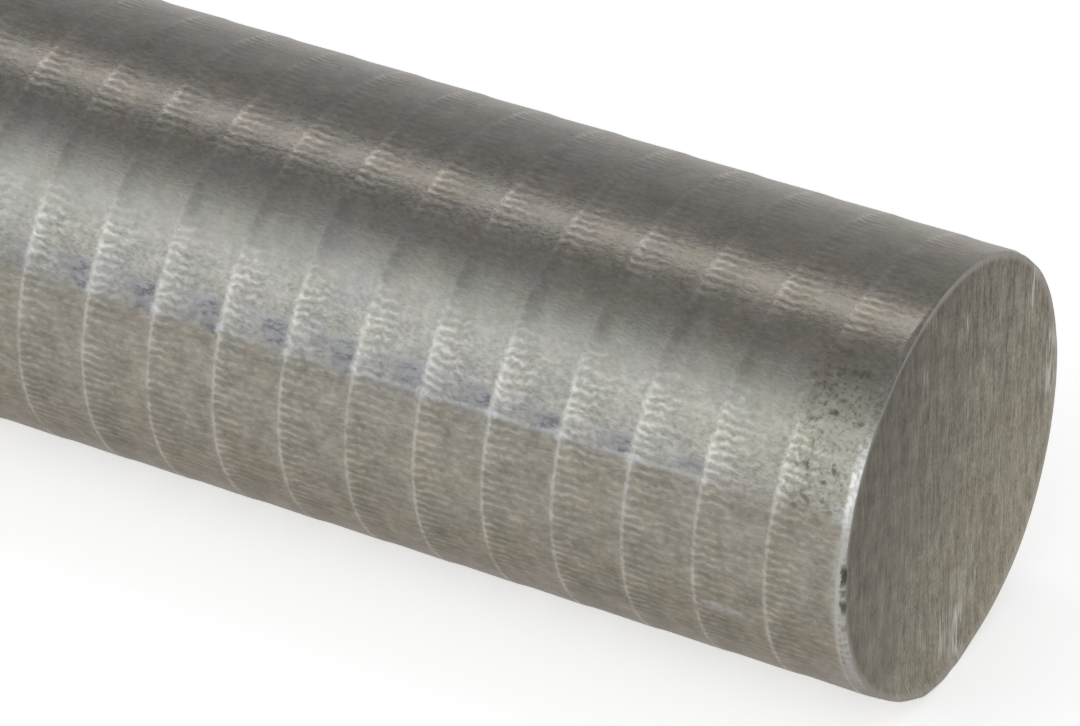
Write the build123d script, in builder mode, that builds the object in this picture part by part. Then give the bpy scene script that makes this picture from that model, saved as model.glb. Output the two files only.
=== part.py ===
from build123d import *
import os

# Round steel bar: peeled stock, sawn square to length at both ends, the saw burr broken off each rim.
# Millimetres, +Z up. The bar lies along X, and the origin is on its axis midway between the ends.

# Driving dimensions
BAR_DIAMETER = 50.8  # two-inch round
BAR_LENGTH = 304.8  # one-foot piece
EDGE_BREAK = 0.4  # width of the 45-degree break around each sawn end

with BuildPart() as round_bar:
    with BuildSketch(Plane.YZ):
        Circle(BAR_DIAMETER / 2)
    extrude(amount=BAR_LENGTH / 2, both=True)
    sawn_ends = round_bar.faces().filter_by(Axis.X)
    chamfer(sawn_ends.edges(), length=EDGE_BREAK)

round_bar.part.label = "round_bar"

os.makedirs("parts", exist_ok=True)
export_step(round_bar.part, "parts/round_bar.step")
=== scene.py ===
import math

import bmesh
import bpy
import numpy as np
from mathutils import Matrix, Vector, noise


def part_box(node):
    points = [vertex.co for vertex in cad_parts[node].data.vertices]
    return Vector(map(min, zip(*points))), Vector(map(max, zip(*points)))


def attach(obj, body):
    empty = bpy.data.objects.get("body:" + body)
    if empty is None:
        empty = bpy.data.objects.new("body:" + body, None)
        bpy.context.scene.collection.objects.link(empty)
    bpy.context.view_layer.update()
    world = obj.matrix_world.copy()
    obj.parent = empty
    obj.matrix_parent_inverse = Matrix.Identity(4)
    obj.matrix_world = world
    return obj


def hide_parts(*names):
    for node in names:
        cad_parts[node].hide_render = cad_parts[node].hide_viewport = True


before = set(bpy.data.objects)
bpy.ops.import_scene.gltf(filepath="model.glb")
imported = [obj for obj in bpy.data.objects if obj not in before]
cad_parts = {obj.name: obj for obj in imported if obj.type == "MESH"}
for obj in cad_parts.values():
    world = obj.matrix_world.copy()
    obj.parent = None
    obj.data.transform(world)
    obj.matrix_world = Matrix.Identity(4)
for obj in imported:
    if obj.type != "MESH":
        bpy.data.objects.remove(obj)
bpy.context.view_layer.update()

# The looks of a round steel bar: peeled in a lathe head, sawn at both ends, in a plain pale studio.
# Metres, in the row's frame. Places on the bar are given by two measures:
#   behind - how far behind the near sawn end, along the axis
#   turn   - part of a turn about the axis, from the top (0) down the front (+) or the back (-)

MM = 0.001
NODE = "round_bar"
low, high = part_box(NODE)
RADIUS = (high.z - low.z) / 2
LENGTH = high.x - low.x
NEAR_END = high.x

# The spiral that the peeling head leaves: low cusps, one feed apart
FEED = 8.56 * MM
FIRST_LINE = 8.83 * MM  # the first whole line is this far behind the near end ...
FIRST_LINE_TURN = 0.169  # ... at this turn
WANDER = 0.45 * MM  # the feed isn't quite even: the lines drift this far to and fro
WANDER_LENGTH = 171 * MM
WANDER_START = 14 * MM
CUSP = 0.08 * MM  # height of a line over the lowest part of its band
CUSP_FOOT = 0.76  # part of a band, from its line to the next, where the surface is lowest
SURFACE_GAP = 0.01 * MM  # the highest cusp stays this far inside the bar's nominal size
WAVES = 0.008 * MM  # slow, random waves of the surface ...
WAVE_SIZE = 9 * MM  # ... and how wide they are
CHATTER_MARKS = 145  # ripples around the bar
CHATTER_BEND = 12.0  # how far they are bent, in radians of a ripple
BAND_ROWS = (0.0, 0.03, 0.1, 0.42, CUSP_FOOT, 0.88, 0.97)
COLUMNS = 288  # around the bar
SHARP_ANGLE = math.radians(24)

# The rims, broken unevenly: most of all down the front, and in two spots at the back
RIM_ZONE = 1.4 * MM
RIM_LOOPS = (0.1, 0.22, 0.36, 0.52, 0.7, 0.95)  # in mm behind an end
EDGE_BREAK = 0.4 * MM
EDGE_ROUND = 0.8 * MM  # how far behind an end the rounding of its rim starts
LEAST_FILED = 0.25  # of the whole edge break
FILED_FRONT = (0.02, 0.1, 0.3, 0.38)  # turns: from, whole from, whole to, to
FILED_SPOTS = (
    # turn, how far round it reaches, how far round it is whole, how much
    (-0.24, 0.07, 0.02, 0.4),
    (-0.11, 0.04, 0.01, 0.35),
)
CHIP_REACH = 0.6 * MM
CHIP_DEPTH = 0.5 * MM  # of the deepest one
CHIPS = (
    # turn, half width, depth
    (0.2405, 1.3 * MM, CHIP_DEPTH),
    (0.2545, 0.45 * MM, 0.35 * MM),
    (0.2665, 0.9 * MM, 0.45 * MM),
    (0.285, 0.4 * MM, 0.2 * MM),
    (-0.11, 0.5 * MM, 0.15 * MM),
)

# The sawn ends
BURR = 0.7 * MM  # the lip that the saw left at the bottom of the near end ...
BURR_TURN = 0.452  # ... highest at this turn
BURR_SPREAD = 0.095  # part of a turn over which it fades, to each side
BULGE = 0.3 * MM  # the cut runs out a little over a wider part of the rim
BULGE_TURN = 0.54
BULGE_SPREAD = 0.17
BULGE_WHOLE = 0.06
LIP_WIDTH = 1.5 * MM
SAW_DEPTH = 0.03 * MM
SAW_STRIP = 0.22 * MM
SAW_CELL = 4 * MM
FINE_LINES = (0.45 * MM, 14 * MM)  # how wide and how long the saw's lines are
BROAD_LINES = (2.3 * MM, 30 * MM)

# How near counts as the same place, when the mesh is made and cut
SAME_POINT = 0.001 * MM
SAME_END = 0.01 * MM
LEAST_LOOP = 0.004 * MM
LEAST_STRIP = 0.02 * MM
LEAST_CELL = 0.0001 * MM

# The map for pictures of the surface, as parts of its width and height
SIDE_HEIGHT = 0.83
END_SIZE = 0.155
END_ABOVE_SIDE = 0.087
NEAR_END_MIDDLE = 0.1
FAR_END_MIDDLE = 0.3


# ---------------------------------------------------------------- the bar's surface, as numbers

def wander(behind):
    return WANDER * math.sin(2 * math.pi * (behind - WANDER_START) / WANDER_LENGTH)


def feed_phase(behind, turn):
    """Counts the lines: a whole number on a line, and the part of the band in between."""
    return (behind - wander(behind) - FIRST_LINE) / FEED - (turn - FIRST_LINE_TURN)


def behind_at(phase, turn):
    """Where a phase is. It undoes feed_phase, near enough for the rows of the mesh."""
    even = FIRST_LINE + FEED * (phase + turn - FIRST_LINE_TURN)
    return even + wander(even)


def band_depth(phase):
    """How far a band lies below its lines: a long slope from each line, and a short rise to the next."""
    part = phase % 1
    if part < CUSP_FOOT:
        return CUSP * (part / CUSP_FOOT) ** 1.3
    return CUSP * (1 - ((part - CUSP_FOOT) / (1 - CUSP_FOOT)) ** 2)


def turn_at(point):
    return math.atan2(-point.y, point.z) / (2 * math.pi)


def ripple(point, size):
    return noise.noise(Vector(point) / size)


def ease(value, start, end):
    """0 at start and before it, 1 at end and past it, smooth in between."""
    share = min(max((value - start) / (end - start), 0), 1)
    return share * share * (3 - 2 * share)


def edge_break(point, from_end, turn):
    """How much the uneven deburring took off the radius, near a rim."""
    uneven = 1 + 0.3 * ripple(point, 4 * MM) + 0.15 * ripple(point, 1 * MM)
    start, whole_from, whole_to, end = FILED_FRONT
    front = ease(turn, start, whole_from) * ease(turn, end, whole_to)
    filed = LEAST_FILED + (1 - LEAST_FILED) * front
    for at, reach, whole, amount in FILED_SPOTS:
        filed += amount * ease(abs(turn - at), reach, whole)
    left = max(0, 1 - from_end / EDGE_ROUND)
    return EDGE_BREAK * uneven * filed * left * left


def burr_height(point):
    """How far the rim of the near end stands out, where the saw broke through."""
    turn = turn_at(point) % 1
    uneven = 1 + 0.25 * ripple(point, 3 * MM) + 0.12 * ripple(point, 1 * MM)
    burr = BURR * uneven * ease(abs(turn - BURR_TURN), BURR_SPREAD, 0.0)
    return burr + BULGE * ease(abs(turn - BULGE_TURN), BULGE_SPREAD, BULGE_WHOLE)


def chip_depth(behind, turn):
    """Small dents knocked into the near rim."""
    depth = 0
    for at, width, deep in CHIPS:
        across = (turn - at) * 2 * math.pi * RADIUS / width
        along = behind / CHIP_REACH
        depth = max(depth, deep * math.exp(-across * across - along * along))
    return depth


def surface_radius(point):
    """The bar's radius at a point of the plain cylinder."""
    behind = NEAR_END - point.x
    turn = turn_at(point)
    from_end = min(behind, LENGTH - behind)
    radius = RADIUS - SURFACE_GAP - band_depth(feed_phase(behind, turn))
    radius -= WAVES * (1 + ripple(point, WAVE_SIZE)) / 2
    if from_end < RIM_ZONE:
        radius -= edge_break(point, from_end, turn)
        radius -= chip_depth(behind, turn)
    return radius


def saw_relief(y, z):
    """How deep the saw's lines go at a point of an end face. They run upright."""
    fine = noise.noise(Vector((y / FINE_LINES[0], z / FINE_LINES[1], 3.1)))
    broad = noise.noise(Vector((y / BROAD_LINES[0], z / BROAD_LINES[1], 8.7)))
    return SAW_DEPTH * (0.5 + 0.35 * fine + 0.3 * broad)


# ---------------------------------------------------------------- the bar's mesh

def spiral_grid():
    """A tube whose rows follow the feed lines, cut off square at the ends."""
    first = math.floor(feed_phase(0, 0.5)) - 1
    last = math.ceil(feed_phase(LENGTH, -0.5)) + 1
    phases = [band + part for band in range(first, last) for part in BAND_ROWS]
    turns = [column / COLUMNS - 0.5 for column in range(COLUMNS)]
    points = []
    for phase in phases:
        for turn in turns:
            behind = min(max(behind_at(phase, turn), 0), LENGTH)
            angle = 2 * math.pi * turn
            points.append((NEAR_END - behind, -RADIUS * math.sin(angle), RADIUS * math.cos(angle)))
    faces = []
    step = len(BAND_ROWS)
    for row in range(len(phases) - 1 - step):
        for column in range(COLUMNS):
            here = row * COLUMNS + column
            if column < COLUMNS - 1:
                beside = here + 1
            else:
                beside = (row + step) * COLUMNS  # past the seam, a row goes on as one of the next band
            corners = (here, beside, beside + COLUMNS, here + COLUMNS)
            if len({round(points[corner][0], 7) for corner in corners}) > 1:
                faces.append(corners)
    return points, faces


def bar_mesh():
    points, faces = spiral_grid()
    mesh = bpy.data.meshes.new("turned_bar")
    mesh.from_pydata(points, [], faces)
    bm = bmesh.new()
    bm.from_mesh(mesh)
    bmesh.ops.remove_doubles(bm, verts=bm.verts, dist=SAME_POINT)
    loose = [vertex for vertex in bm.verts if not vertex.link_faces]
    bmesh.ops.delete(bm, geom=loose, context="VERTS")
    for side in (1, -1):
        add_rim_loops(bm, side)
    for vertex in bm.verts:
        scale = surface_radius(vertex.co) / math.hypot(vertex.co.y, vertex.co.z)
        vertex.co.y *= scale
        vertex.co.z *= scale
    for side in (1, -1):
        cap_end(bm, side)
    bmesh.ops.recalc_face_normals(bm, faces=bm.faces)
    bm.to_mesh(mesh)
    bm.free()
    return mesh


def of_kind(geometry, kind):
    return [part for part in geometry if isinstance(part, kind)]


def cut(bm, faces, point, normal, least):
    """Cuts faces along a plane, and gives all their parts. Corners within least of it count as on it."""
    vertices = {vertex for face in faces for vertex in face.verts}
    edges = {edge for face in faces for edge in face.edges}
    geometry = [*vertices, *edges, *faces]
    made = bmesh.ops.bisect_plane(bm, geom=geometry, dist=least, plane_co=point, plane_no=normal)
    return of_kind(made["geom"], bmesh.types.BMFace)


def add_rim_loops(bm, side):
    end = side * LENGTH / 2
    for loop in RIM_LOOPS:
        reach = loop * MM + SAME_END
        faces = [face for face in bm.faces if any(abs(vertex.co.x - end) < reach for vertex in face.verts)]
        cut(bm, faces, (end - side * loop * MM, 0, 0), (side, 0, 0), LEAST_LOOP)


def cap_end(bm, side):
    """Closes an end: a ring inside its rim, and narrow upright strips that carry the saw's lines."""
    end = side * LENGTH / 2
    rim = [edge for edge in bm.edges if edge.is_boundary and abs(edge.verts[0].co.x - end) < SAME_END]
    rim_vertices = {vertex for edge in rim for vertex in edge.verts}
    ring = bmesh.ops.extrude_edge_only(bm, edges=rim)["geom"]
    for vertex in of_kind(ring, bmesh.types.BMVert):
        vertex.co.y *= 1 - LIP_WIDTH / RADIUS
        vertex.co.z *= 1 - LIP_WIDTH / RADIUS
    for face in of_kind(ring, bmesh.types.BMFace):
        face.material_index = 1
    inner = [edge for edge in of_kind(ring, bmesh.types.BMEdge) if edge.is_boundary]
    cap = bmesh.ops.holes_fill(bm, edges=inner, sides=0)["faces"]
    if side > 0:
        for vertex in rim_vertices:
            vertex.co.x += burr_height(vertex.co)
    cells = set(cut_cells(bm, cap[0]))
    for face in cells:
        face.material_index = 1
    vertices = {vertex for face in cells for vertex in face.verts}
    for vertex in vertices:
        if cells.issuperset(vertex.link_faces):
            vertex.co.x -= side * saw_relief(vertex.co.y, vertex.co.z)


def cut_cells(bm, rest):
    """Cuts a face into narrow upright strips, and those into cells."""
    cells = []
    strips = int(2 * RADIUS / SAW_STRIP)
    for strip in range(1, strips):
        y = -RADIUS + 2 * RADIUS * strip / strips
        spread = [vertex.co.y for vertex in rest.verts]
        if min(spread) + LEAST_STRIP < y < max(spread) - LEAST_STRIP:
            made = cut(bm, [rest], (0, y, 0), (0, 1, 0), LEAST_CELL)
            rest = max(made, key=lambda face: face.calc_center_median().y)
            cells += [face for face in made if face is not rest]
    cells.append(rest)
    rows = int(2 * RADIUS / SAW_CELL)
    for row in range(1, rows):
        z = -RADIUS + 2 * RADIUS * row / rows
        cells = cut(bm, cells, (0, 0, z), (0, 0, 1), LEAST_CELL)
    return cells


def measure(items, name, kind, size=1):
    """One value of every item of a mesh, all in one list."""
    values = np.zeros(len(items) * size, kind)
    items.foreach_get(name, values)
    return values


def unroll(mesh):
    """A map for pictures of the surface: the turned side flat, and both ends above it."""
    places = measure(mesh.vertices, "co", float, 3).reshape(-1, 3)
    x, y, z = places[measure(mesh.loops, "vertex_index", int)].T
    corners = measure(mesh.polygons, "loop_total", int)
    slots = measure(mesh.polygons, "material_index", int)
    face_of = np.repeat(np.arange(len(corners)), corners)
    first_corner = np.concatenate(([0], np.cumsum(corners)[:-1]))
    turn = np.arctan2(-y, z) / (2 * math.pi)
    turn = turn - np.round(turn - turn[first_corner][face_of])  # a face on the seam stays in one piece
    is_end = slots[face_of] == 1
    middle = np.where(x > 0, NEAR_END_MIDDLE, FAR_END_MIDDLE)
    along = (NEAR_END - x) / LENGTH * 0.996 + 0.002
    along = np.where(is_end, middle + y / RADIUS * END_SIZE / 2, along)
    around = (turn + 0.5) * SIDE_HEIGHT * 0.99 + 0.004
    around = np.where(is_end, SIDE_HEIGHT + END_ABOVE_SIDE + z / RADIUS * END_SIZE / 2, around)
    uv = mesh.uv_layers.new(name="OFBake")
    uv.data.foreach_set("uv", np.stack([along, around], 1).ravel())


# ---------------------------------------------------------------- writing materials

class Value:
    """A number that nodes work out. Sums, differences and products of values add the nodes for them."""

    def __init__(self, graph, socket):
        self.graph = graph
        self.socket = socket

    def __add__(self, other):
        return self.graph.math("ADD", self, other)

    def __sub__(self, other):
        return self.graph.math("SUBTRACT", self, other)

    def __rsub__(self, other):
        return self.graph.math("SUBTRACT", other, self)

    def __mul__(self, other):
        return self.graph.math("MULTIPLY", self, other)

    __radd__ = __add__
    __rmul__ = __mul__


class Graph:
    """Writes the nodes of a material or a world: each method adds a node and returns what it gives out."""

    def __init__(self, owner):
        owner.use_nodes = True
        self.tree = owner.node_tree
        self.tree.nodes.clear()

    def add(self, kind, inputs, **settings):
        """Adds a node, with its inputs by name or number and its own settings."""
        node = self.tree.nodes.new(kind)
        for key, value in settings.items():
            setattr(node, key, value)
        for key, value in inputs.items():
            socket = node.inputs[key]
            if isinstance(value, Value):
                value = value.socket
            if isinstance(value, bpy.types.NodeSocket):
                self.tree.links.new(value, socket)
            elif isinstance(value, tuple) and socket.type == "RGBA":
                socket.default_value = (*value, 1)
            else:
                socket.default_value = value
        return node

    def number(self, kind, inputs, **settings):
        return Value(self, self.add(kind, inputs, **settings).outputs[0])

    def math(self, operation, *values):
        return self.number("ShaderNodeMath", dict(enumerate(values)), operation=operation)

    def span(self, value, start, end):
        """0 at start and before it, 1 at end and past it, smooth in between."""
        inputs = {"Value": value, "From Min": start, "From Max": end}
        return self.number("ShaderNodeMapRange", inputs, interpolation_type="SMOOTHSTEP")

    def window(self, value, start, end, soft):
        """1 from start to end, and 0 past soft edges."""
        return self.span(value, start - soft, start + soft) * self.span(value, end + soft, end - soft)

    def noise(self, point, scale, detail=2.0, w=None):
        """Smooth noise, of about scale spots to a millimetre. w moves it on to another pattern."""
        inputs = {"Vector": point, "Scale": scale, "Detail": detail}
        if w is None:
            return self.number("ShaderNodeTexNoise", inputs)
        return self.number("ShaderNodeTexNoise", {**inputs, "W": w}, noise_dimensions="4D")

    def ramp(self, value, stops):
        """A colour that follows the stops, each a value from 0 to 1 and the colour there."""
        node = self.add("ShaderNodeValToRGB", {0: value})
        elements = node.color_ramp.elements
        while len(elements) < len(stops):
            elements.new(0.5)
        for element, (at, colour) in zip(elements, stops):
            element.position = at
            element.color = (*colour, 1)
        return node.outputs[0]

    def curve(self, value, points):
        """A number that follows the points, each a value and what it becomes, all from 0 to 1."""
        return Value(self, self.ramp(value, [(at, (level, level, level)) for at, level in points]))

    def mix(self, factor, first, second, blend="MIX"):
        """Two colours, mixed. The node's sockets 6 and 7 are its colours."""
        inputs = {0: factor, 6: first, 7: second}
        return self.add("ShaderNodeMix", inputs, data_type="RGBA", blend_type=blend).outputs[2]

    def scaled(self, vector, amount):
        """A vector, or a colour, times a number."""
        return self.add("ShaderNodeVectorMath", {0: vector, "Scale": amount}, operation="SCALE").outputs[0]

    def vector(self, x, y, z):
        return self.add("ShaderNodeCombineXYZ", {0: x, 1: y, 2: z}).outputs[0]

    def parts(self, vector):
        return [Value(self, part) for part in self.add("ShaderNodeSeparateXYZ", {0: vector}).outputs]

    def bump(self, height, distance, normal=None):
        """Relief, on top of another one where its normal is given."""
        inputs = {"Height": height, "Distance": distance, "Strength": 1.0}
        if normal is not None:
            inputs["Normal"] = normal
        return self.add("ShaderNodeBump", inputs).outputs[0]


EDGE_TINT = (0.78, 0.76, 0.74)  # of bare steel that is seen at a flat angle


def point_in_mm(graph):
    """The x, y and z of the point that is shown."""
    point = graph.add("ShaderNodeTexCoord", {}).outputs["Object"]
    return graph.parts(graph.scaled(point, 1 / MM))


def phase_nodes(graph, behind, turn):
    """feed_phase, written in nodes. behind is in millimetres."""
    angle = (behind - WANDER_START / MM) * (2 * math.pi * MM / WANDER_LENGTH)
    along = behind - graph.math("SINE", angle) * (WANDER / MM)
    return along * (MM / FEED) + (FIRST_LINE_TURN - FIRST_LINE / FEED) - turn


def bare_steel(name, write):
    """A material of bare metal. write gets its graph, and gives its colour, roughness and relief."""
    material = bpy.data.materials.new(name)
    graph = Graph(material)
    colour, roughness, normal = write(graph)
    shader = graph.add(
        "ShaderNodeBsdfPrincipled",
        {
            "Base Color": colour,
            "Roughness": roughness,
            "Normal": normal,
            "Metallic": 1.0,
            "Specular Tint": EDGE_TINT,
        },
    )
    graph.add("ShaderNodeOutputMaterial", {"Surface": shader.outputs[0]})
    return material


# ---------------------------------------------------------------- the turned side

BRIGHT_STEEL = (0.5, 0.485, 0.455)
# pale filed rim steel, also the colour of its painted highlight
RIM_PALE_AND_HIGHLIGHT = (0.55, 0.54, 0.52)
GREEN_CAST = (0.284, 0.28, 0.259)
PINK_CAST = (0.29, 0.276, 0.258)
OIL_FILM = (1.0, 0.988, 0.945)
END_FILM = (1.01, 1.0, 0.95)
LOW_FILM = (1.04, 1.0, 0.935)
# painted shade for the underside and its lowest edge
UNDERSIDE_SHADE = (0.874, 0.835, 0.8)
LOW_EDGE_SHADE = (0.8, 0.75, 0.67)
BROWN_GAP = (0.21, 0.19, 0.155)
BLUE_CAST = (0.145, 0.147, 0.162)
PALE_VIOLET = (0.42, 0.41, 0.445)
# painted white highlight
HIGHLIGHT_WHITE = (0.56, 0.555, 0.55)
PALE_SCUFF = (0.42, 0.42, 0.42)
OLIVE_DIRT = (0.095, 0.082, 0.048)
# painted shade in the chips
CHIP_SHADE = (0.05, 0.045, 0.035)

# How the marks of the cut show, from the top of the bar (0) round to below it (0.5). They show most where
# the strip lamp and the lit front wall are mirrored, so they are partly painted highlight and shade
LINES_SHOW = (
    (0.0, 0.2),
    (0.03, 0.3),
    (0.042, 0.7),
    (0.072, 0.7),
    (0.088, 0.25),
    (0.12, 0.1),
    (0.145, 0.5),
    (0.19, 0.85),
    (0.215, 0.95),
    (0.5, 0.95),
)
CHATTER_AND_GLINTS_SHOW = (
    (0.0, 0.3),
    (0.03, 0.35),
    (0.045, 1.0),
    (0.07, 1.0),
    (0.085, 0.2),
    (0.13, 0.1),
    (0.16, 0.9),
    (0.195, 1.0),
    (0.21, 0.5),
    (0.5, 0.5),
)
# How light the steel is just before a line, as painted highlight and shade: lighter where the strip lamp
# and the lit front wall are mirrored, darker in the dim zone between. 0.5 is like the rest
LIGHT_AND_SHADE_BEFORE_LINES = (
    (0.0, 0.5),
    (0.035, 0.55),
    (0.05, 0.95),
    (0.07, 0.9),
    (0.088, 0.3),
    (0.12, 0.3),
    (0.145, 0.85),
    (0.19, 1.0),
    (0.21, 0.55),
    (0.5, 0.5),
)
# Painted light and shade towards the near end: how much lighter the steel gets there, 0.5 is like the rest
NEAR_END_PAINTED_LIGHT = (
    (0.0, 0.56),
    (0.03, 0.58),
    (0.042, 0.66),
    (0.075, 0.66),
    (0.088, 0.5),
    (0.105, 0.38),
    (0.128, 0.42),
    (0.15, 0.5),
    (0.5, 0.5),
)

# Zones round the bar, away from its top: each starts at the first part of a turn, and is whole at the next
SIDES = (0.1, 0.16)  # past the top
UNDERSIDE = (0.195, 0.21)  # past the long rub
LOW_SIDE = (0.3, 0.4)
# painted shade low on the bar, and at its lowest edge that is seen
SHADED_UNDERSIDE = (0.24, 0.37)
SHADED_LOW_EDGE = (0.355, 0.385)
NEAR_PART = (60, -10)  # mm behind the near end
FAR_PART = (30, 62)
MOST_BENT = (0.14, 0.2, 0.02)  # where the chatter is bent most: from, to, soft edge

# The marks of the cut. Widths are parts of a band, and heights are for the relief
LINE_WIDTH = 0.065  # from the middle of a line to its edge ...
LINE_CORE = 0.012  # ... of which this much is bright
NARROWER_BELOW = 0.028
RAGGED = 0.036
LESS_RAGGED_BELOW = 0.024
RIPPLE_HEIGHT = 0.015 * MM
GRAIN_HEIGHT = 0.01 * MM
SIDE_ROUGHNESS = 0.21

# Single marks. Turns and distances behind the near end, in mm, are: from, to, soft edge
SCUFF_REACH = (16, 100, 5)
SMUDGE_REACH = (17, 104, 4)
LONG_RUB = (0.2012, 0.204, 0.0014)
LONG_RUB_REACH = (17.2, 60, 2)
# painted highlights where the lines cross the long rub
HIGHLIGHT_TURNS = (0.197, 0.2045, 0.003)
# painted shade: a band just below the long rub made darker, where the mirrored front wall gives way to the
# floor
SHADE_BELOW_RUB = (0.2, 0.216, 0.004)
PITTED = (0.095, 0.2, 0.03)
PITTED_REACH = (0.5, 9, 3)
FILED_RIM = (0.06, 0.35, 0.03)
# painted highlight on the rim, where the lit front wall is mirrored
RIM_HIGHLIGHT = (0.15, 0.208, 0.012)
SCUFFED_RIM = (0.207, 0.36, 0.01)
SHORT_RUBS = (
    # turn, distance, strength
    ((0.299, 0.3045, 0.002), (12.5, 17.6, 0.6), 0.8),
    ((0.191, 0.203, 0.002), (-2, 2.2, 0.8), 0.9),
    ((0.33, 0.37, 0.01), (-2, 4, 1.5), 0.3),
)


class TurnedSide:
    """The measures, zones and patterns that the marks of the turned side share. Lengths are in mm."""

    def __init__(self, graph):
        self.x, self.y, self.z = point_in_mm(graph)
        self.behind = NEAR_END / MM - self.x
        self.turn = graph.math("DIVIDE", graph.math("ARCTAN2", self.y * -1.0, self.z), 2 * math.pi)
        self.around = graph.math("ABSOLUTE", self.turn)
        self.phase = phase_nodes(graph, self.behind, self.turn)
        self.part = graph.math("FRACT", self.phase)
        # Goes on along the spiral, and is far apart from one band to the next, so each has its own pattern
        self.ribbon = (graph.math("FLOOR", self.phase) + self.turn) * 3

        self.side = graph.span(self.around, *SIDES)
        self.under = graph.span(self.around, *UNDERSIDE)
        self.low = graph.span(self.around, *LOW_SIDE)
        self.near_end = graph.span(self.behind, *NEAR_PART) * (1 - self.under * 0.6)
        self.fresh = graph.span(self.part, 0.3, 1)  # marks are strong before a line, and fade away from it
        self.chatter = graph.curve(self.around, CHATTER_AND_GLINTS_SHOW)

        self.point = self.stretched(graph, 1)
        self.grit = graph.noise(self.point, 1.3, w=9)
        self.mottle = graph.noise(self.point, 0.45, detail=3)
        self.patches = graph.noise(self.point, 0.2, w=4)
        self.ripples = chatter_ripples(graph, self)
        self.grain = fine_grain(graph, self)
        self.to_line, self.line = feed_lines(graph, self)

    def stretched(self, graph, squeeze):
        """The point, for a pattern that is stretched along the bar where squeeze is under 1."""
        return graph.vector(self.x * squeeze, self.y, self.z)


def chatter_ripples(graph, bar):
    """Ripples along the bar at an even pitch, bent to and fro: 0.5 is half-way up."""
    bend = graph.noise(bar.stretched(graph, 1.6), 0.42, detail=1, w=bar.ribbon) - 0.5
    bend = bend * (graph.window(bar.around, *MOST_BENT) * 0.45 + 0.5) * CHATTER_BEND
    wave = graph.math("SINE", bar.turn * (2 * math.pi * CHATTER_MARKS) + bend)
    return wave * (graph.span(bar.grit, 0.32, 0.6) * 0.38 + 0.1) + 0.5


def fine_grain(graph, bar):
    """Fine streaks along the bar: short ones above, and longer ones below."""
    short = graph.noise(bar.stretched(graph, 0.5), 3.3, w=bar.ribbon)
    long = graph.noise(bar.stretched(graph, 0.3), 3.6, w=bar.ribbon)
    return (long - short) * bar.under + short


def feed_lines(graph, bar):
    """How far the nearest line is, as part of a band, and how much of it shows."""
    raggedness = RAGGED - bar.under * LESS_RAGGED_BELOW
    jagged = (bar.ripples - 0.5) * raggedness + (bar.phase + 0.015)
    to_line = graph.math("PINGPONG", jagged, 0.5)
    line = graph.span(to_line, LINE_WIDTH - bar.under * NARROWER_BELOW, LINE_CORE)
    # how much a line shows round the bar: partly painted highlight
    shows = graph.curve(bar.around, LINES_SHOW) * graph.span(bar.grit, 0.15, 0.62)
    return to_line, line * shows * (graph.span(bar.mottle, 0.35, 0.55) * 0.45 + 0.58)


def plain_colour(graph, bar):
    """The steel with its films of oil, darkened low on the bar as painted shade, before any mark."""
    pinker = graph.span(bar.patches, 0.4, 0.6) * (1 - bar.under * 0.4)
    oily = graph.span(graph.noise(bar.point, 0.25, w=14), 0.42, 0.62)
    colour = graph.mix(pinker, GREEN_CAST, PINK_CAST)
    for amount, film in (
        (oily, OIL_FILM),
        (bar.near_end, END_FILM),
        (bar.under, LOW_FILM),
        # painted shade: the underside and its lowest edge darkened, as where the bar mirrors the floor in
        # its own shadow
        (graph.span(bar.around, *SHADED_UNDERSIDE), UNDERSIDE_SHADE),
        (graph.span(bar.around, *SHADED_LOW_EDGE), LOW_EDGE_SHADE),
    ):
        colour = graph.mix(amount, colour, film, "MULTIPLY")
    # the brown gaps between the chatter's light arcs: partly painted shade, strongest where the lamps are
    # mirrored
    gap = graph.span(bar.ripples, 0.45, 0.1) * bar.fresh * graph.span(bar.chatter, 0.5, 1)
    return graph.mix(gap * 0.28, colour, BROWN_GAP)


def tone(graph, bar):
    """How light the steel is, where 1 is its plain colour. Besides random tone it holds painted highlight
    and shade: on the chatter where the lamps are mirrored, just before the lines, below the long rub, and
    towards the near end.
    """
    blotches = (bar.mottle - 0.5) * (bar.low * 0.5 + bar.under * 0.35 + 0.45)
    chatter_glints = bar.ripples * bar.ripples - 0.34  # light arcs with wider gaps: chatter marks, partly painted highlight where the lamps are mirrored
    # Painted highlight and shade just before each line
    painted_light_before_line = graph.span(bar.part, 0.6, 1) * (graph.curve(bar.around, LIGHT_AND_SHADE_BEFORE_LINES) - 0.5)
    between_lines = graph.window(bar.part, 0.45, 0.78, 0.2) * graph.span(bar.around, 0.27, 0.33)
    at_line = graph.span(bar.to_line, 0.15, 0) * bar.under
    changes = (
        (bar.grain - 0.5) * (bar.chatter * 0.8 + 0.25),
        chatter_glints * ((bar.fresh * 0.6 + 0.08) * bar.chatter + bar.under * 0.12),
        (bar.grit - 0.5) * (bar.side * 0.35 + 0.15),
        (bar.patches - 0.5) * (bar.low * 0.7 + 0.2),
        painted_light_before_line * 0.45,
        at_line * 0.12,
        between_lines * -0.08,
        # painted shade just below the long rub
        graph.window(bar.around, *SHADE_BELOW_RUB) * -0.06,
        # painted light and shade towards the near end
        (graph.curve(bar.around, NEAR_END_PAINTED_LIGHT) - 0.5) * (bar.near_end - 0.25),
    )
    return (blotches + 1.03) * sum(changes, 1.0)


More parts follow.
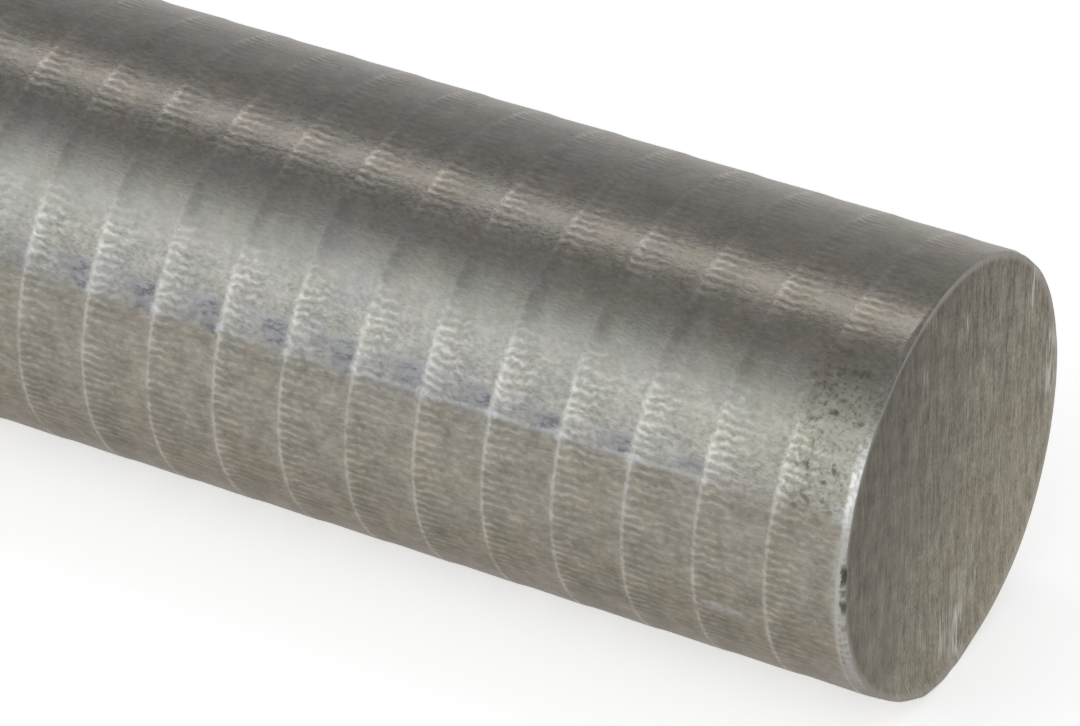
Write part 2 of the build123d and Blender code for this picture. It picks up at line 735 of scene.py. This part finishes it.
def scuff_and_smudges(graph, bar, colour):
    """A long pale scuff down the front, with a dark smudge behind each line that crosses it."""
    off_grit = bar.grit - 0.5
    ragged_turn = off_grit * 0.014 + bar.turn
    far = graph.span(bar.behind, *FAR_PART)
    upper = far * 0.006 + ragged_turn  # both marks reach further round the bar there
    lower = far * -0.004 + ragged_turn
    scuff = graph.span(upper, 0.181, 0.187) * graph.span(lower, 0.2035, 0.1975)
    scuff = scuff * graph.window(bar.behind, *SCUFF_REACH)
    colour = graph.mix(scuff * (graph.span(bar.grit, 0.3, 0.62) * 0.24 + 0.06), colour, PALE_SCUFF)

    # A smudge is widest at its lower edge near the end, and at its upper edge further back
    slant = far * -23 + 9
    width = (0.194 - ragged_turn) * slant + (off_grit * 0.35 + bar.part)
    smudge = graph.span(upper, 0.1845, 0.191) * graph.span(lower, 0.2025, 0.1965)
    smudge = smudge * graph.span(width, 0.6, 0.15) * graph.span(bar.part, 0.02, 0.06)
    smudge = smudge * graph.window(bar.behind, *SMUDGE_REACH)
    smears = graph.span(graph.noise(bar.stretched(graph, 0.35), 1.3, w=27), 0.42, 0.62)
    dark = (smears * 0.65 + 0.35) * (graph.span(bar.grain, 0.35, 0.6) * 0.6 + 0.4)
    colour = graph.mix(smudge * 0.25, colour, PALE_VIOLET)
    return graph.mix(smudge * dark, colour, BLUE_CAST)


def pale_rubs(graph, bar, colour):
    """The long rub at the lower edge of the scuff, and a few short ones."""
    uneven = graph.span(bar.grit, 0.3, 0.62) * 0.6 + 0.4
    rub = graph.window(bar.grit * 0.004 + bar.turn, *LONG_RUB) * graph.window(bar.behind, *LONG_RUB_REACH)
    colour = graph.mix(rub * uneven * 0.7, colour, PALE_SCUFF)
    for turns, reach, strength in SHORT_RUBS:
        rub = graph.window(bar.turn, *turns) * graph.window(bar.behind, *reach)
        colour = graph.mix(rub * uneven * strength, colour, PALE_SCUFF)
    return colour


def pits(graph, bar, colour):
    """Olive pits in an oily patch near the end."""
    patch = graph.window(bar.turn, *PITTED) * graph.window(bar.behind, *PITTED_REACH)
    large = graph.span(graph.noise(bar.point, 0.85, detail=3, w=21), 0.53, 0.7)
    small = graph.span(graph.noise(bar.point, 2, detail=1, w=33), 0.51, 0.74)
    colour = graph.mix(patch * 0.4, colour, OIL_FILM, "MULTIPLY")
    return graph.mix(graph.math("MAXIMUM", large, small * 0.65) * patch * 0.9, colour, OLIVE_DIRT)


def crossing_highlights(graph, bar, colour):
    """A painted white highlight where each line crosses the long rub."""
    glint = graph.window(bar.turn, *HIGHLIGHT_TURNS) * graph.span(bar.to_line, 0.12, 0.03)
    glint = glint * graph.window(bar.behind, *SCUFF_REACH) * graph.span(bar.grit, 0.3, 0.6)
    return graph.mix(glint * 0.7, colour, HIGHLIGHT_WHITE)


def rim_wear_and_painted_light(graph, bar, colour):
    """The rims are rubbed pale, with a painted highlight down the front, and the chips of the near one are
    painted dark as shade.
    """
    from_end = LENGTH / 2 / MM - graph.math("ABSOLUTE", bar.x)
    ragged = (bar.grit - 0.5) * 1.6 + from_end
    patchy = graph.span(graph.noise(bar.point, 1.8, w=40), 0.38, 0.6)
    # pale filed rim, with a painted highlight down the front
    bright = graph.window(bar.turn, *FILED_RIM) * 0.25 + graph.window(bar.turn, *RIM_HIGHLIGHT) * 0.6 + 0.15
    bright = bright * (patchy * 0.75 + 0.4)
    colour = graph.mix(graph.span(ragged, 1.2, 0.4) * bright, colour, RIM_PALE_AND_HIGHLIGHT)
    scuffed = graph.window(bar.turn, *SCUFFED_RIM) * graph.span(ragged, 1.6, 1.1)
    colour = graph.mix(scuffed * patchy * 0.45, colour, PALE_SCUFF)
    # painted shade in the chips of the near rim
    chip_shade = 0.0
    for at, width, deep in CHIPS:
        half = width / (2 * math.pi * RADIUS)
        chip = graph.window(bar.turn, at - half, at + half, half * 0.6)
        chip_shade = graph.math("MAXIMUM", chip_shade, chip * (deep / CHIP_DEPTH))
    chip_shade = chip_shade * graph.span(bar.behind - bar.grit * 0.9, 0.15, -0.15)
    return graph.mix(chip_shade * 0.9, colour, CHIP_SHADE)


def turned_surface(graph):
    """Peeled steel: spiral lines, the chatter beside them, handling marks and small pits, with painted
    highlight and shade where the lamps are mirrored.
    """
    bar = TurnedSide(graph)
    colour = graph.scaled(plain_colour(graph, bar), tone(graph, bar))
    colour = graph.mix(bar.line * 0.75, colour, BRIGHT_STEEL)
    for marks in (scuff_and_smudges, pale_rubs, pits, crossing_highlights, rim_wear_and_painted_light):
        colour = marks(graph, bar, colour)
    roughness = bar.grain * 0.14 + bar.fresh * 0.03 + bar.line * -0.06 + SIDE_ROUGHNESS
    ripples = bar.ripples * (bar.fresh * 0.8 + 0.2) * bar.chatter
    normal = graph.bump(ripples, RIPPLE_HEIGHT)
    normal = graph.bump(bar.grain * (1.6 - bar.under * 0.6), GRAIN_HEIGHT, normal)
    return colour, roughness, normal


# ---------------------------------------------------------------- the sawn ends

FACE_GREY = (0.287, 0.265, 0.212)
FACE_BROWN = (0.262, 0.238, 0.187)
# bluish painted shade, with stain
FACE_SHADE_BLUE = (0.214, 0.199, 0.166)
FACE_ROUGHNESS = 0.34
LINE_RELIEF = 0.035 * MM
FINE_RELIEF = 0.022 * MM
SCRATCH = (0.72, 0.7, 0.66)

# Pale scratches on the near end, in millimetres from its middle
SCRATCHES = (
    # left, right, bottom, top, strength
    (1.2, 3.2, -24.5, -18.5, 0.9),
    (0.2, 4.0, -25, -14, 0.25),
    (-2.2, -0.6, -22, -17, 0.5),
    (5.2, 6.4, -18, -12, 0.5),
    (-7.0, -6.2, -21, -17, 0.35),
    (18.0, 19.3, 10, 18, 0.5),
    (22.3, 24.5, -2, 6, 0.5),
    (-7.6, -6.8, 15.5, 17.5, 0.7),
    (2.0, 2.8, 17, 19, 0.5),
)


def sawn_surface(graph):
    """The ends: short upright saw streaks on dull steel, stained, with painted shade up and to the left and
    a few scratches.
    """
    x, y, z = point_in_mm(graph)
    point = graph.vector(x, y, z)
    lines = graph.noise(graph.vector(x, y * 3.2, z * 0.3), 1)
    fine = graph.noise(graph.vector(x, y * 4.4, z * 2.2), 1)
    bands = graph.noise(graph.vector(x, y * 0.9, z * 0.1), 1, w=5)
    broad = graph.noise(point, 0.09, detail=3)
    mottle = graph.noise(point, 0.5, detail=3, w=2)
    brown = graph.noise(point, 0.16, detail=3, w=6)

    # Painted shade and stain, deepest up and to the left, seen from the near end
    stain_and_shade = graph.span(broad * 30 + z * 0.5 + y * -0.9, 6, 40)
    colour = graph.mix(graph.span(brown, 0.48, 0.64), FACE_GREY, FACE_BROWN)
    colour = graph.mix(stain_and_shade, colour, FACE_SHADE_BLUE)
    streaks = (lines - 0.5) * 1.3 + (fine - 0.5) * 1.45
    light = streaks * (1 - stain_and_shade * 0.45) + (mottle - 0.5) * 0.75 + (bands - 0.5) * 0.6
    # painted shade: lighter towards the bottom and the right
    light = light + z * -0.0105 + y * 0.0045 + 0.95
    colour = graph.scaled(colour, light)

    scratched = graph.span(lines, 0.42, 0.62) * graph.math("GREATER_THAN", x, 0)
    for left, right, bottom, top, strength in SCRATCHES:
        patch = graph.window(y, left, right, 0.5) * graph.window(z, bottom, top, 1.5)
        colour = graph.mix(patch * scratched * strength, colour, SCRATCH)
    from_middle = graph.math("SQRT", y * y + z * z)
    rim = graph.span(from_middle, RADIUS / MM - 1.3, RADIUS / MM - 0.5)
    colour = graph.mix(rim * 0.4, colour, BRIGHT_STEEL)
    normal = graph.bump(lines, LINE_RELIEF)
    normal = graph.bump(fine, FINE_RELIEF, normal)
    return colour, fine * 0.15 + FACE_ROUGHNESS, normal


def make_bar():
    mesh = bar_mesh()
    mesh.polygons.foreach_set("use_smooth", [True] * len(mesh.polygons))
    mesh.set_sharp_from_angle(angle=SHARP_ANGLE)
    unroll(mesh)
    mesh.materials.append(bare_steel("turned_steel", turned_surface))
    mesh.materials.append(bare_steel("sawn_steel", sawn_surface))
    bar = bpy.data.objects.new("peeled_bar", mesh)
    bpy.context.scene.collection.objects.link(bar)
    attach(bar, "root")
    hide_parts(NODE)


# ---------------------------------------------------------------- the studio

CAMERA_AZIMUTH = math.radians(29.68)  # from square on to the bar's side, towards the near end
CAMERA_ELEVATION = math.radians(32.65)
CAMERA_LENS = 274.35
CAMERA_DISTANCE = 35.014 * RADIUS
AIM_LEFT = 1.755 * RADIUS  # the camera looks this far left of the near end's middle ...
AIM_UP = 0.483 * RADIUS  # ... and this far above it

RIGHT = Vector((math.cos(CAMERA_AZIMUTH), math.sin(CAMERA_AZIMUTH), 0))
AHEAD = Vector((-math.sin(CAMERA_AZIMUTH), math.cos(CAMERA_AZIMUTH), 0))
UP = Vector((0, 0, 1))

# The one lamp: a long strip above the bar, away from the camera. Angles are in degrees.
STRIP_ELEVATION = 60
STRIP_AZIMUTH = -32  # from straight away from the camera, + to the right
STRIP_DISTANCE = 1.2
STRIP_WIDTH = 1.2
STRIP_HEIGHT = 0.215
STRIP_BRIGHTNESS = 1.35  # what it looks like: 1 is white
STRIP_COLOUR = (1, 0.96, 0.92)
STRIP_ALONG = Vector((1, -0.2, 0))  # its width lies nearly along the bar
LAMP_AIM = Vector((NEAR_END - 50 * MM, 0, 0))

# The studio's walls and ceiling, from the back of the bar over the top to the front. Angles are in degrees,
# and 0 is straight up. The front wall is lit, brightest half-way up.
WALLS = (
    # angle, brightness, colour
    (-90, 0.79, (1.0, 1.0, 1.04)),
    (-75, 0.65, (1.0, 1.0, 1.04)),
    (-57, 0.5, (1.0, 1.0, 1.03)),
    (-45, 0.385, (1.01, 0.99, 1.0)),
    (-32, 0.37, (1.01, 0.985, 0.995)),
    (8, 0.316, (1.01, 0.98, 0.98)),
    (22, 0.455, (1.0, 0.99, 1.0)),
    (38, 1.08, (0.98, 1.01, 1.02)),
    (54, 1.8, (0.97, 1.01, 1.03)),
    (68, 1.59, (0.98, 1.01, 1.03)),
    (84, 1.1, (0.99, 1.01, 1.04)),
    (90, 0.92, (0.98, 1.01, 1.04)),
)
WALL_LIGHT = 2.0  # what a colour of 1 stands for
WALL_SKEW = 1.5  # how much the front wall's light leans along the bar ...
SKEW_MIDDLE = -0.42  # ... to each side of the directions with this x ...
SKEW_REACH = 0.15  # ... and no further than this from them
FRONT_WALL = (0.1, 0.7)  # radians from straight up: where it starts, and where it leans in full

FLOOR_SIZE = 3.0
FLOOR_PAINT = (0.86, 0.86, 0.86)
FLOOR_GLOW = 0.55  # what the camera sees on top of the paint ...
FLOOR_GLEAM = 0.38  # ... and what the bar mirrors


def place(thing, location, side, toward):
    """Puts a lamp or camera at a place: its own X along side, its own -Z along toward."""
    back = -toward.normalized()
    across = (side - back * side.dot(back)).normalized()
    above = back.cross(across)
    turned = Matrix((across, above, back)).transposed()
    thing.matrix_world = Matrix.Translation(location) @ turned.to_4x4()
    bpy.context.scene.collection.objects.link(thing)


def make_camera():
    data = bpy.data.cameras.new("camera")
    data.sensor_fit = "HORIZONTAL"
    data.sensor_width = 36
    data.lens = CAMERA_LENS
    data.clip_start = 0.05
    camera = bpy.data.objects.new("camera", data)
    toward = AHEAD * math.cos(CAMERA_ELEVATION) - UP * math.sin(CAMERA_ELEVATION)
    above = AHEAD * math.sin(CAMERA_ELEVATION) + UP * math.cos(CAMERA_ELEVATION)
    aim = Vector((NEAR_END, 0, 0)) - RIGHT * AIM_LEFT + above * AIM_UP
    place(camera, aim - toward * CAMERA_DISTANCE, RIGHT, toward)
    bpy.context.scene.camera = camera


def make_lamp():
    data = bpy.data.lights.new("strip", "AREA")
    data.shape = "RECTANGLE"
    data.size = STRIP_WIDTH
    data.size_y = STRIP_HEIGHT
    data.energy = STRIP_BRIGHTNESS * math.pi * STRIP_WIDTH * STRIP_HEIGHT
    data.color = STRIP_COLOUR
    lamp = bpy.data.objects.new("strip", data)
    lamp.visible_camera = False
    elevation = math.radians(STRIP_ELEVATION)
    azimuth = math.radians(STRIP_AZIMUTH)
    level = RIGHT * math.sin(azimuth) + AHEAD * math.cos(azimuth)
    outward = level * math.cos(elevation) + UP * math.sin(elevation)
    place(lamp, LAMP_AIM + outward * STRIP_DISTANCE, STRIP_ALONG, -outward)


def make_world():
    world = bpy.data.worlds.new("studio")
    bpy.context.scene.world = world
    graph = Graph(world)
    x, y, z = graph.parts(graph.add("ShaderNodeTexCoord", {}).outputs["Generated"])
    roll = graph.math("ARCTAN2", y * -1.0, z)
    aside = graph.math("MINIMUM", graph.math("MAXIMUM", x - SKEW_MIDDLE, -SKEW_REACH), SKEW_REACH)
    roll = roll + aside * -WALL_SKEW * graph.span(roll, *FRONT_WALL)
    stops = [
        (angle / 180 + 0.5, tuple(part * brightness / WALL_LIGHT for part in colour))
        for angle, brightness, colour in WALLS
    ]
    walls = graph.ramp(roll * (1 / math.pi) + 0.5, stops)
    background = graph.add("ShaderNodeBackground", {"Color": walls, "Strength": WALL_LIGHT})
    graph.add("ShaderNodeOutputWorld", {"Surface": background.outputs[0]})


def white_floor():
    """Pale paint that also glows, so that the ground looks nearly white and keeps a soft shadow."""
    material = bpy.data.materials.new("floor")
    graph = Graph(material)
    paint = graph.add("ShaderNodeBsdfDiffuse", {"Color": FLOOR_PAINT}).outputs[0]
    rays = graph.add("ShaderNodeLightPath", {}).outputs
    seen = graph.math("MAXIMUM", rays["Is Camera Ray"], rays["Is Transmission Ray"])
    mirrored = graph.math("MULTIPLY", rays["Is Glossy Ray"], FLOOR_GLEAM)
    glow = graph.add("ShaderNodeEmission", {"Strength": seen * FLOOR_GLOW + mirrored}).outputs[0]
    both = graph.add("ShaderNodeAddShader", {0: paint, 1: glow}).outputs[0]
    graph.add("ShaderNodeOutputMaterial", {"Surface": both})
    return material


def make_floor():
    mesh = bpy.data.meshes.new("floor")
    corners = ((-1, -1), (1, -1), (1, 1), (-1, 1))
    mesh.from_pydata([(FLOOR_SIZE * x, FLOOR_SIZE * y, low.z) for x, y in corners], [], [(0, 1, 2, 3)])
    mesh.materials.append(white_floor())
    floor = bpy.data.objects.new("floor", mesh)
    bpy.context.scene.collection.objects.link(floor)


make_bar()
make_camera()
make_lamp()
make_world()
make_floor()
bpy.context.scene.view_settings.view_transform = "Standard"
